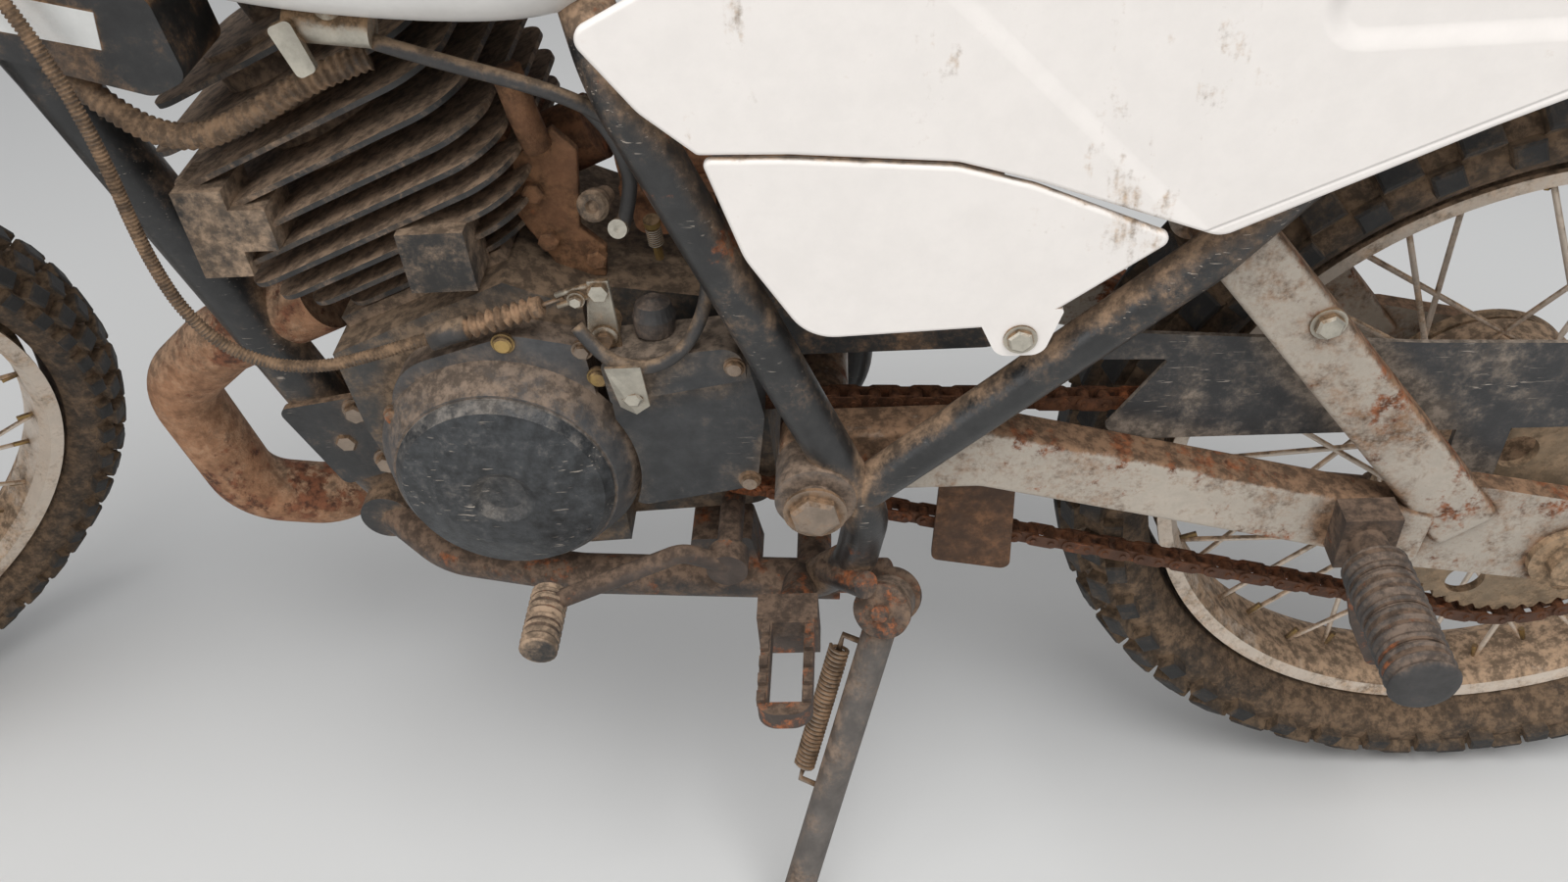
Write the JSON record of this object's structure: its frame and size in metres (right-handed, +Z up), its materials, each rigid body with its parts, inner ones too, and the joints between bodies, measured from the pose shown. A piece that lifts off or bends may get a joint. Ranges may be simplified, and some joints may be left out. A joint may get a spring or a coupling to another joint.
{
  "type": "dual sport motorcycle",
  "caption": "Worn air-cooled single-cylinder dual sport motorcycle, parked leaning on its side stand with the steering at its left stop.",
  "frame": {"origin": "on the ground, at the middle of the parked machine's box", "axes": "+X towards the front wheel, +Y to the machine's left, +Z up"},
  "size_m": [2.0442, 0.6546, 1.2566],
  "materials": {
    "frame_black": "scratched black enamel",
    "silver_paint": "silver grey paint with rust freckles",
    "engine_black": "matt black paint, dusty",
    "alloy": "dull cast alloy",
    "rust": "rusted steel",
    "dark_rust": "dark rusted steel",
    "steel": "dull plated steel",
    "white_plastic": "dirty white moulding",
    "white_paint": "dirty white paint",
    "black_plastic": "black moulding",
    "black_rubber": "weathered rubber",
    "tyre": "worn dusty rubber",
    "vinyl": "black seat vinyl",
    "lens": "moulded lens",
    "clear_lens": "headlamp glass"
  },
  "bodies": {
    "chassis": {"frame_backbone": "frame_black", "frame_downtube": "frame_black", "cradle_rails": "frame_black", "side_tubes": "frame_black", "seat_rails": "frame_black", "rear_struts": "frame_black", "crankcases": "engine_black", "cylinder": "engine_black", "cylinder_head": "engine_black", "case_covers": "engine_black", "magneto_cover": "engine_black", "sprocket_cover": "engine_black", "intake_manifold": "rust", "carburettor": "alloy", "air_box": "black_plastic", "exhaust_pipe": "rust", "silencer": "engine_black", "fuel_tank": "white_paint", "seat": "vinyl", "lower_side_covers": "white_plastic", "tail_side_covers": "white_plastic", "rear_fender": "white_plastic", "tail_lamp": "lens", "swingarm": "silver_paint", "pivot_bolt": "rust", "rear_shock": "steel", "rear_axle": "alloy", "chain": "dark_rust", "chain_guard": "frame_black", "chain_guide": "rust", "rider_pegs": "rust", "pillion_pegs": "black_rubber", "gear_lever": "rust", "brake_pedal": "steel", "kick_starter": "steel", "intake_bottle": "black_plastic", "clutch_cable": "black_rubber", "clutch_arm": "alloy", "hoses": "black_rubber", "fuel_tap": "alloy", "fin_dampers": "black_rubber"},
    "steering": {"fork_clamps": "alloy", "fork_tubes": "black_rubber", "fork_sliders": "alloy", "front_axle": "alloy", "handlebar": "frame_black", "grips": "black_rubber", "hand_levers": "alloy", "headlamp": "clear_lens", "lamp_bracket": "frame_black", "instruments": "black_plastic", "front_fender": "white_plastic"},
    "front_wheel": {"front_tyre": "tyre", "front_wheel": "alloy"},
    "rear_wheel": {"rear_tyre": "tyre", "rear_wheel": "alloy", "rear_sprocket": "rust"},
    "side_stand": {"side_stand": "rust", "stand_spring": "rust"}
  },
  "joints": [
    {"name": "steering", "type": "hinge", "parent": "chassis", "child": "steering", "pos_m": [0.44295, -0.01576, 0.76257], "axis": [-0.4925, 0.1504, 0.8572], "range_deg": [-96, 0]},
    {"name": "front_wheel_spin", "type": "hinge", "parent": "steering", "child": "front_wheel", "pos_m": [0.75448, -0.04519, 0.30233], "axis": [-0.6478, 0.5944, -0.4765], "continuous": true},
    {"name": "rear_wheel_spin", "type": "hinge", "parent": "chassis", "child": "rear_wheel", "pos_m": [-0.57107, -0.09762, 0.30715], "axis": [-0.0015, 0.9848, -0.1736], "continuous": true},
    {"name": "side_stand_fold", "type": "hinge", "parent": "chassis", "child": "side_stand", "pos_m": [-0.14136, 0.01668, 0.27207], "axis": [0.2681, 0.9214, 0.2814], "range_deg": [0, 103]}
  ]
}
